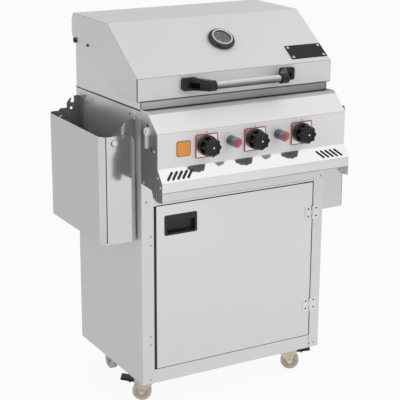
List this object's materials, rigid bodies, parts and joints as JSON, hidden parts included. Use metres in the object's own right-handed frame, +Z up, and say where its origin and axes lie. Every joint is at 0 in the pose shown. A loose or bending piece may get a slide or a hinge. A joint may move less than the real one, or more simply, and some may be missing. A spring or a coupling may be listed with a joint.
{
  "type": "gas barbecue",
  "caption": "Free-standing gas barbecue: steel cabinet with a door on casters, sloped lid with bar handle and dial thermometer, knob panel, grates and fold-down side shelves.",
  "frame": {"origin": "middle of the overall width and depth, on the floor under the casters", "axes": "+X to the right seen from the front, +Y to the back, +Z up"},
  "size_m": [0.86, 0.593, 1.177],
  "materials": {
    "stainless_sheet": "polished",
    "stainless_tube": "polished",
    "burner_steel": "satin",
    "bezel_plate": "satin, red outline",
    "pipe_steel": "satin",
    "valve_brass": "satin",
    "grate_iron": "matt enamel",
    "rack_chrome": "bright",
    "barrel_metal": "bright dark",
    "plated_steel": "zinc plated, yellow",
    "black_plastic": "glossy",
    "pull_plastic": "satin",
    "black_screw": "satin",
    "case_metal": "bright",
    "dial_face": "matt",
    "clear_glass": "clear",
    "plate_black": "satin",
    "button_red": "glossy",
    "tyre_grey": "translucent"
  },
  "bodies": {
    "cabinet": {"cabinet_side_left": "stainless_sheet", "cabinet_side_right": "stainless_sheet", "cabinet_back": "stainless_sheet", "cabinet_floor": "stainless_sheet", "front_frame": "stainless_sheet", "hood_side_left": "stainless_sheet", "hood_side_right": "stainless_sheet", "hood_front": "stainless_sheet", "hood_back": "stainless_sheet", "firebox": "stainless_sheet", "control_panel": "stainless_sheet", "panel_side_left": "stainless_sheet", "panel_side_right": "stainless_sheet", "knob_bezels": "bezel_plate", "gas_manifold": "pipe_steel", "gas_valves": "valve_brass", "burner_tubes": "burner_steel", "flame_tamers": "burner_steel", "cooking_grate_left": "grate_iron", "cooking_grate_right": "grate_iron", "warming_rack": "rack_chrome", "ignition_barrels": "barrel_metal", "shelf_brackets_left": "stainless_sheet", "shelf_brackets_right": "stainless_sheet", "caster_plates": "plated_steel", "door_catch": "pull_plastic", "hinge_leaves_fixed": "stainless_sheet"},
    "lid": {"lid_shell": "stainless_sheet", "lid_side_left": "stainless_sheet", "lid_side_right": "stainless_sheet", "handle_bar": "stainless_tube", "handle_bracket_left": "black_plastic", "handle_bracket_right": "black_plastic", "thermometer_case": "case_metal", "thermometer_dial": "dial_face", "thermometer_glass": "clear_glass", "blank_plate": "plate_black", "lid_bolts": "black_screw"},
    "door": {"door_panel": "stainless_sheet", "door_pull": "pull_plastic", "hinge_leaves_door": "stainless_sheet"},
    "shelf_left": {"shelf_left": "stainless_sheet"},
    "shelf_right": {"shelf_right": "stainless_sheet"},
    "knob_left": {"knob_left": "black_plastic"},
    "knob_middle": {"knob_middle": "black_plastic"},
    "knob_right": {"knob_right": "black_plastic"},
    "button_left": {"ignition_button_left": "button_red"},
    "button_right": {"ignition_button_right": "button_red"},
    "tray": {"grease_tray": "stainless_sheet", "grease_cup": "stainless_sheet"},
    "fork_front_left": {"caster_fork_front_left": "plated_steel"},
    "wheel_front_left": {"caster_wheel_front_left": "tyre_grey"},
    "pedal_left": {"brake_pedal_left": "black_plastic"},
    "fork_front_right": {"caster_fork_front_right": "plated_steel"},
    "wheel_front_right": {"caster_wheel_front_right": "tyre_grey"},
    "pedal_right": {"brake_pedal_right": "black_plastic"},
    "fork_rear_left": {"caster_fork_rear_left": "plated_steel"},
    "wheel_rear_left": {"caster_wheel_rear_left": "tyre_grey"},
    "fork_rear_right": {"caster_fork_rear_right": "plated_steel"},
    "wheel_rear_right": {"caster_wheel_rear_right": "tyre_grey"}
  },
  "joints": [
    {"name": "lid_hinge", "type": "hinge", "parent": "cabinet", "child": "lid", "pos_m": [0, 0.2705, 1.095], "axis": [-1, 0, 0], "range_deg": [0, 95]},
    {"name": "door_hinge", "type": "hinge", "parent": "cabinet", "child": "door", "pos_m": [0.282, -0.1537, 0.405], "axis": [0, 0, 1], "range_deg": [0, 110]},
    {"name": "shelf_left_fold", "type": "hinge", "parent": "cabinet", "child": "shelf_left", "pos_m": [-0.388, 0.0755, 0.86], "axis": [0, 1, 0], "range_deg": [0, 90]},
    {"name": "shelf_right_fold", "type": "hinge", "parent": "cabinet", "child": "shelf_right", "pos_m": [0.388, 0.0755, 0.86], "axis": [0, -1, 0], "range_deg": [0, 90]},
    {"name": "knob_left_turn", "type": "hinge", "parent": "cabinet", "child": "knob_left", "pos_m": [-0.162, -0.2505, 0.858], "axis": [0, -1, 0], "range_deg": [0, 180]},
    {"name": "knob_middle_turn", "type": "hinge", "parent": "cabinet", "child": "knob_middle", "pos_m": [0, -0.2505, 0.858], "axis": [0, -1, 0], "range_deg": [0, 180]},
    {"name": "knob_right_turn", "type": "hinge", "parent": "cabinet", "child": "knob_right", "pos_m": [0.162, -0.2505, 0.858], "axis": [0, -1, 0], "range_deg": [0, 180]},
    {"name": "button_left_push", "type": "slide", "parent": "cabinet", "child": "button_left", "axis": [0, 1, 0], "range_m": [0, 0.005], "stiffness_N_per_m": 500, "springref_m": -0.002},
    {"name": "button_right_push", "type": "slide", "parent": "cabinet", "child": "button_right", "axis": [0, 1, 0], "range_m": [0, 0.005], "stiffness_N_per_m": 500, "springref_m": -0.002},
    {"name": "tray_slide", "type": "slide", "parent": "cabinet", "child": "tray", "axis": [0, 1, 0], "range_m": [0, 0.36]},
    {"name": "swivel_front_left", "type": "hinge", "parent": "cabinet", "child": "fork_front_left", "pos_m": [-0.248, -0.0525, 0.0824], "axis": [0, 0, 1], "continuous": true},
    {"name": "wheel_front_left_spin", "type": "hinge", "parent": "fork_front_left", "child": "wheel_front_left", "pos_m": [-0.26813, -0.03943, 0.03], "axis": [-0.5446, -0.8387, 0], "continuous": true},
    {"name": "pedal_left_press", "type": "hinge", "parent": "fork_front_left", "child": "pedal_left", "pos_m": [-0.2849, -0.02854, 0.066], "axis": [-0.5446, -0.8387, 0], "range_deg": [0, 20]},
    {"name": "swivel_front_right", "type": "hinge", "parent": "cabinet", "child": "fork_front_right", "pos_m": [0.248, -0.0525, 0.0824], "axis": [0, 0, 1], "continuous": true},
    {"name": "wheel_front_right_spin", "type": "hinge", "parent": "fork_front_right", "child": "wheel_front_right", "pos_m": [0.26813, -0.06557, 0.03], "axis": [0.5446, 0.8387, 0], "continuous": true},
    {"name": "pedal_right_press", "type": "hinge", "parent": "fork_front_right", "child": "pedal_right", "pos_m": [0.2849, -0.07646, 0.066], "axis": [0.5446, 0.8387, 0], "range_deg": [0, 20]},
    {"name": "swivel_rear_left", "type": "hinge", "parent": "cabinet", "child": "fork_rear_left", "pos_m": [-0.248, 0.1995, 0.0824], "axis": [0, 0, 1], "continuous": true},
    {"name": "wheel_rear_left_spin", "type": "hinge", "parent": "fork_rear_left", "child": "wheel_rear_left", "pos_m": [-0.248, 0.2235, 0.03], "axis": [-1, 0, 0], "continuous": true},
    {"name": "swivel_rear_right", "type": "hinge", "parent": "cabinet", "child": "fork_rear_right", "pos_m": [0.248, 0.1995, 0.0824], "axis": [0, 0, 1], "continuous": true},
    {"name": "wheel_rear_right_spin", "type": "hinge", "parent": "fork_rear_right", "child": "wheel_rear_right", "pos_m": [0.248, 0.2235, 0.03], "axis": [-1, 0, 0], "continuous": true}
  ]
}
